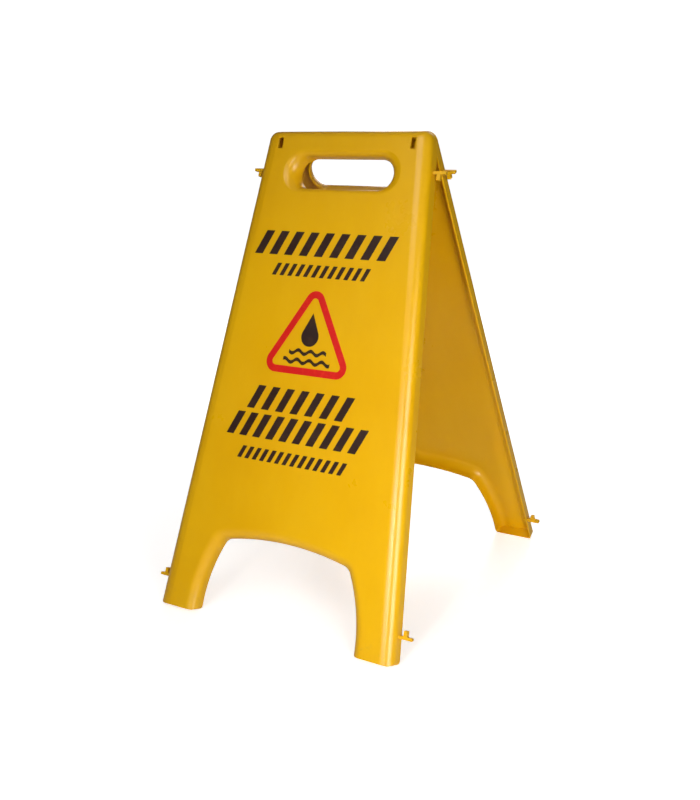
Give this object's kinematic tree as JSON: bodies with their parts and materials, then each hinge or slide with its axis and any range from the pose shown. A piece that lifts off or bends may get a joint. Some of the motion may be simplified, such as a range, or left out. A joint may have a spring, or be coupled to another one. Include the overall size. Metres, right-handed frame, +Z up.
{
  "type": "wet floor sign",
  "caption": "Free-standing folding A-frame floor safety sign: two hollow moulded panels with legs and a hand hole, hinged below the top, with side hooks for a chain.",
  "frame": {"origin": "on the floor, straight below the middle of the hinge line, with the sign standing open", "axes": "+Z up; +X to the right when facing the front panel, along the hinge line; the front panel faces -Y"},
  "size_m": [0.3726, 0.4426, 0.5882],
  "materials": {
    "yellow_plastic": "semi-gloss moulded polypropylene with a faint grain",
    "hook_plastic": "semi-gloss moulded polypropylene",
    "pin_plastic": "natural nylon, satin",
    "black_ink": "screen-printed ink, satin",
    "red_ink": "screen-printed ink, satin"
  },
  "bodies": {
    "front_leaf": {"front_drop_print": "black_ink", "front_footnote_print": "black_ink", "front_heading_print": "black_ink", "front_lower_left_hook": "hook_plastic", "front_lower_message_print": "black_ink", "front_lower_right_hook": "hook_plastic", "front_panel": "yellow_plastic", "front_subheading_print": "black_ink", "front_triangle_print": "red_ink", "front_upper_left_hook": "hook_plastic", "front_upper_message_print": "black_ink", "front_upper_right_hook": "hook_plastic", "front_wave_print": "black_ink"},
    "rear_leaf": {"rear_drop_print": "black_ink", "rear_footnote_print": "black_ink", "rear_heading_print": "black_ink", "rear_lower_left_hook": "hook_plastic", "rear_lower_message_print": "black_ink", "rear_lower_right_hook": "hook_plastic", "rear_panel": "yellow_plastic", "rear_subheading_print": "black_ink", "rear_triangle_print": "red_ink", "rear_upper_left_hook": "hook_plastic", "rear_upper_message_print": "black_ink", "rear_upper_right_hook": "hook_plastic", "rear_wave_print": "black_ink", "left_hinge_pin": "pin_plastic", "right_hinge_pin": "pin_plastic"}
  },
  "joints": [
    {"name": "fold", "type": "hinge", "parent": "front_leaf", "child": "rear_leaf", "pos_m": [0, 0, 0.55925], "axis": [-1, 0, 0], "range_deg": [0, 39.88]}
  ]
}
